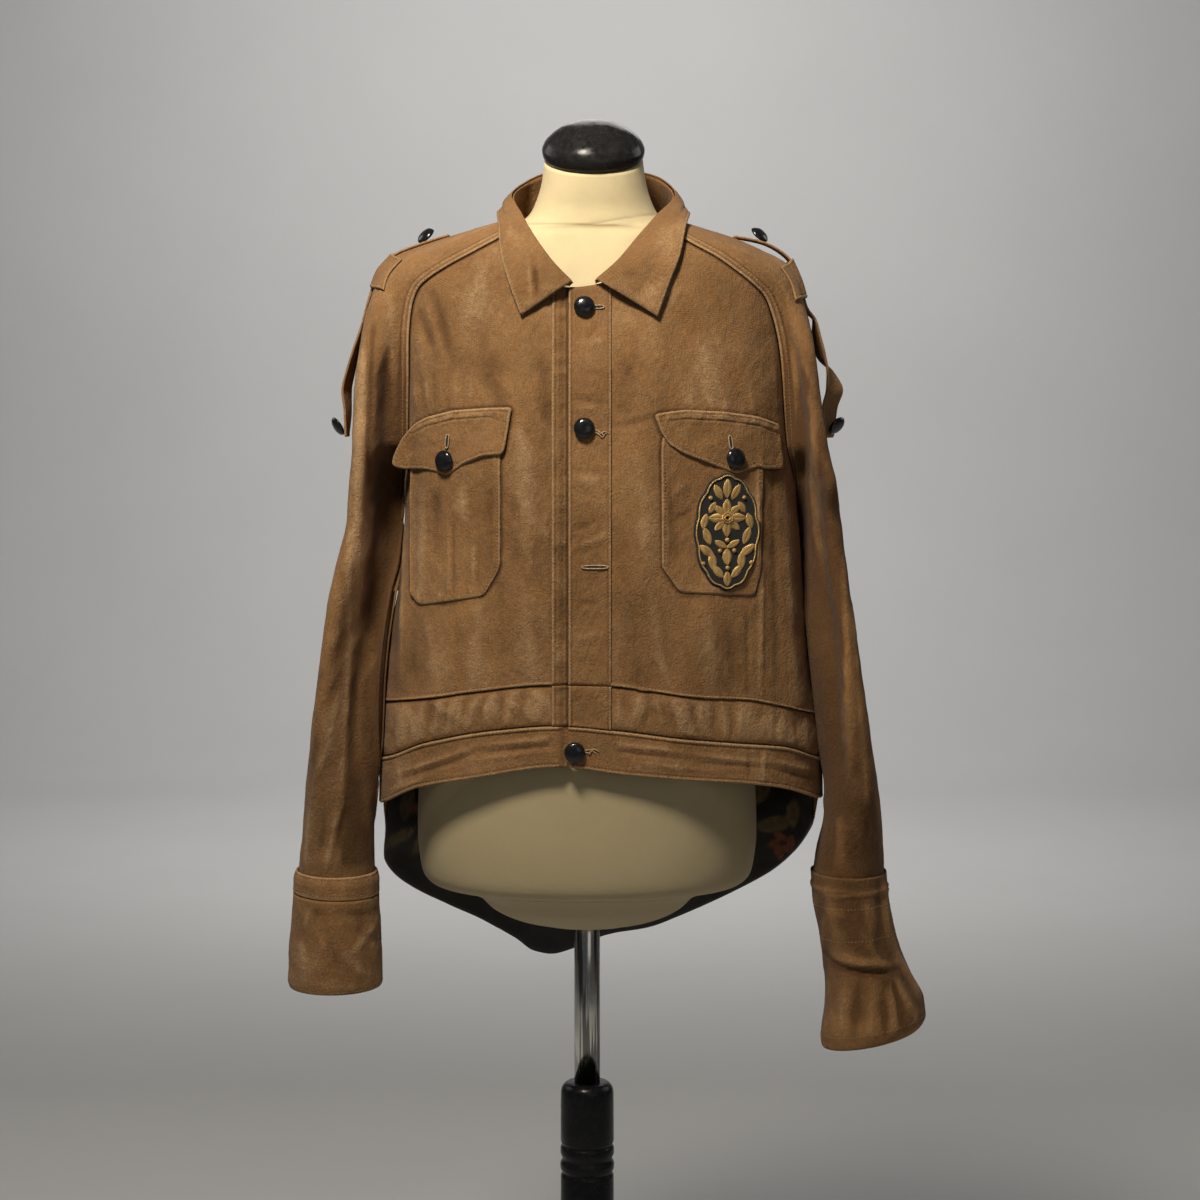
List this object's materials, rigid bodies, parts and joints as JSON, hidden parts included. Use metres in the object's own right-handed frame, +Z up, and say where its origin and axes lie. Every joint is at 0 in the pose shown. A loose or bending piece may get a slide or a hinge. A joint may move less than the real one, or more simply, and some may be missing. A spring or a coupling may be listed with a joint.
{
  "type": "work jacket on a dress form",
  "caption": "Cropped brown cotton drill work jacket with a long curved back, turned-down collar, flap pockets and shoulder straps, on a limbless dress form with a pole stand.",
  "frame": {"origin": "centre of the flat underside of the base, on the axis of the pole", "axes": "+Z up along the pole, +X to the right in a front view, front of the jacket faces -Y"},
  "size_m": [0.6375, 0.37, 1.5035],
  "materials": {
    "drill": "washed brown cotton drill",
    "lining": "smooth dark printed lining",
    "badge": "gold thread on black ground",
    "button": "polished black",
    "form_cloth": "cream jersey cover",
    "cap": "polished black with light wear",
    "pole": "polished",
    "post": "gloss black",
    "base": "satin black"
  },
  "bodies": {
    "root": {"front_left": "drill", "front_right": "drill", "back": "drill", "sleeve_left": "drill", "sleeve_right": "drill", "waist_strip_left": "drill", "waist_strip_right": "drill", "waistband_left": "drill", "waistband_right": "drill", "placket_outer": "drill", "placket_waist": "drill", "placket_under": "drill", "placket_under_waist": "drill", "pocket_left": "drill", "pocket_right": "drill", "flap_left": "drill", "flap_right": "drill", "collar_stand": "drill", "collar_leaf": "drill", "cuff_band_left": "drill", "cuff_left": "drill", "cuff_right": "drill", "strap_left": "drill", "strap_right": "drill", "loop_left": "drill", "loop_right": "drill", "front_button_top": "button", "front_button_middle": "button", "waist_button": "button", "pocket_button_left": "button", "pocket_button_right": "button", "strap_button_left_top": "button", "strap_button_left_end": "button", "strap_button_right_top": "button", "strap_button_right_end": "button", "badge": "badge", "lining_tail": "lining", "form_torso": "form_cloth", "form_cover": "form_cloth", "neck_cap": "cap", "pole": "pole", "post": "post", "base": "base"}
  },
  "joints": []
}
